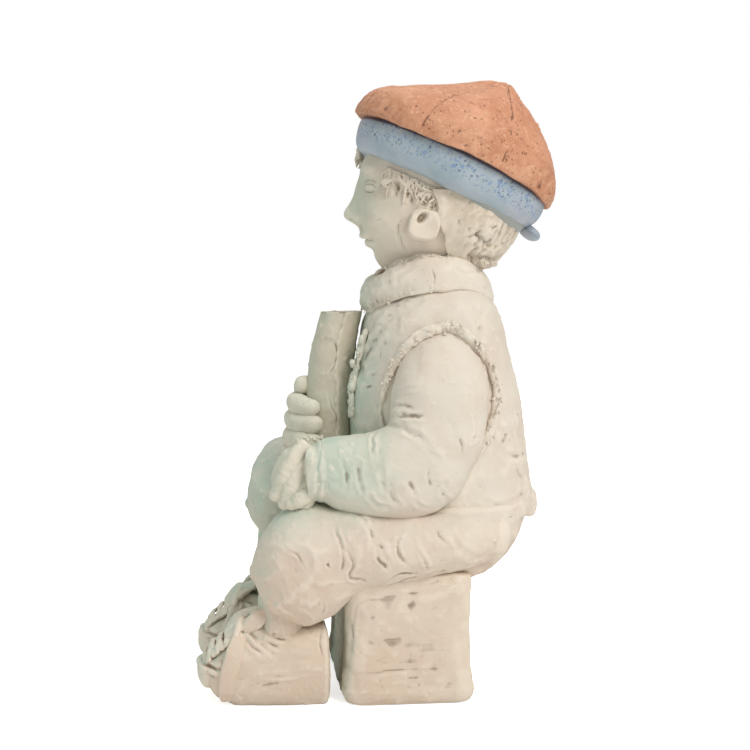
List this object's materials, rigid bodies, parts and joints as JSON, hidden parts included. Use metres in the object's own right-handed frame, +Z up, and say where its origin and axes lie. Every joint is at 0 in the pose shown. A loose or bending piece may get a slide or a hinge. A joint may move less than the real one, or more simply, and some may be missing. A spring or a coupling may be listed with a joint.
{
  "type": "garden figure",
  "caption": "Hand-built ceramic garden figure of a boy in a peaked cap, seated on a square hollow block and holding a rolled sheet upright.",
  "frame": {"origin": "on the ground, under the middle of the figure's bounding box", "axes": "+Z up, the figure faces -Y, +X is the figure's left side"},
  "size_m": [0.1506, 0.2282, 0.3786],
  "materials": {
    "body_clay": "matte unglazed clay with a pale wash",
    "skin_clay": "matte unglazed clay, smoothed",
    "hair_clay": "matte unglazed clay, scratched",
    "sheet_clay": "matte unglazed clay",
    "terracotta": "matte terracotta stain",
    "blue_glaze": "semi-gloss speckled blue glaze"
  },
  "bodies": {
    "root": {"seat_block": "body_clay", "torso": "body_clay", "trouser_seat": "body_clay", "left_shoe": "body_clay", "left_trouser_leg": "body_clay", "left_stocking": "body_clay", "left_shoe_tongue": "body_clay", "left_shoe_facing_outer": "body_clay", "left_shoe_facing_inner": "body_clay", "left_shoe_laces": "body_clay", "right_shoe": "body_clay", "right_trouser_leg": "body_clay", "right_stocking": "body_clay", "right_shoe_tongue": "body_clay", "right_shoe_facing_outer": "body_clay", "right_shoe_facing_inner": "body_clay", "right_shoe_laces": "body_clay", "rolled_sheet": "sheet_clay", "left_sleeve": "body_clay", "left_cuff": "body_clay", "right_sleeve": "body_clay", "right_cuff": "body_clay", "jacket_hem": "body_clay", "head": "skin_clay", "neck": "skin_clay", "collar": "body_clay", "left_armhole_band": "body_clay", "right_armhole_band": "body_clay", "placket": "body_clay", "button_1": "body_clay", "button_2": "body_clay", "button_3": "body_clay", "cap_brim": "blue_glaze", "cap_crown": "terracotta", "cap_tab": "blue_glaze", "left_ear": "skin_clay", "right_ear": "skin_clay", "back_hair": "hair_clay", "left_side_hair": "hair_clay", "right_side_hair": "hair_clay", "forelock": "hair_clay", "right_palm": "skin_clay", "right_finger_1": "skin_clay", "right_finger_2": "skin_clay", "right_finger_3": "skin_clay", "right_finger_4": "skin_clay", "right_thumb": "skin_clay", "left_palm": "skin_clay", "left_finger_1": "skin_clay", "left_finger_2": "skin_clay", "left_finger_3": "skin_clay", "left_finger_4": "skin_clay", "left_thumb": "skin_clay"}
  },
  "joints": []
}
